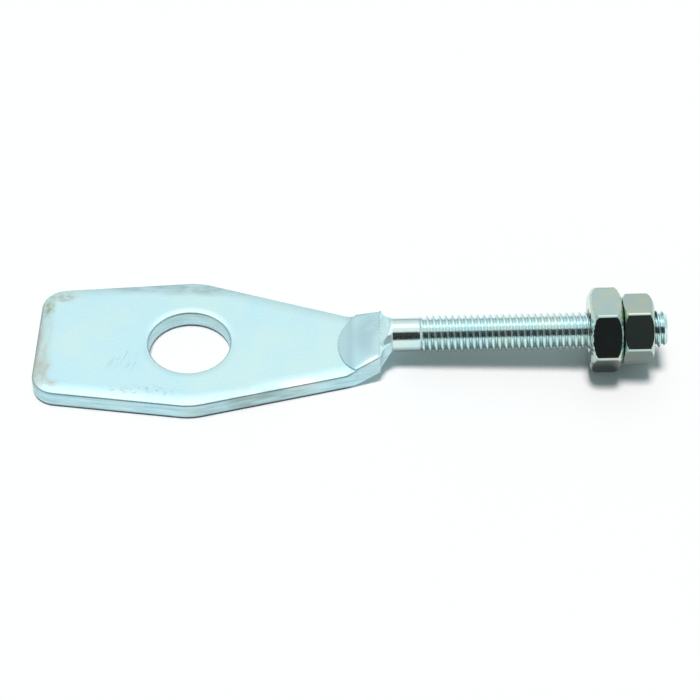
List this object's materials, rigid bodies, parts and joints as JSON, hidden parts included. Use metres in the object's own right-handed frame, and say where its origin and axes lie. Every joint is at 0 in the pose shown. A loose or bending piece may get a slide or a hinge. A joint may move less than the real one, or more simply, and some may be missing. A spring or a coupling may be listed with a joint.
{
  "type": "motorcycle chain adjuster",
  "caption": "Flat plate with an axle hole and a forged neck, welded to a threaded stud that carries an adjusting nut and a lock nut, for setting a drive chain's tension at the swing arm.",
  "frame": {"origin": "centre of the axle hole on the plate's back face", "axes": "+X along the plate towards the stud and the nuts, +Z along the axle hole away from the back face"},
  "size_m": [0.0996, 0.027, 0.014],
  "materials": {
    "plate_zinc": "bright zinc plated, pale blue cast",
    "stud_zinc": "bright zinc plated, rolled thread",
    "nut_zinc": "bright zinc plated, faint yellow cast"
  },
  "bodies": {
    "adjuster": {"adjuster_plate": "plate_zinc", "threaded_stud": "stud_zinc"},
    "adjusting_nut": {"adjusting_nut": "nut_zinc"},
    "lock_nut": {"lock_nut": "nut_zinc"}
  },
  "joints": [
    {"name": "adjusting_nut_travel", "type": "slide", "parent": "adjuster", "child": "adjusting_nut", "axis": [0.9982, 0, 0.0593], "range_m": [-0.0268, 0]},
    {"name": "lock_nut_travel", "type": "slide", "parent": "adjuster", "child": "lock_nut", "axis": [0.9982, 0, 0.0593], "range_m": [0, 0.0021]}
  ]
}
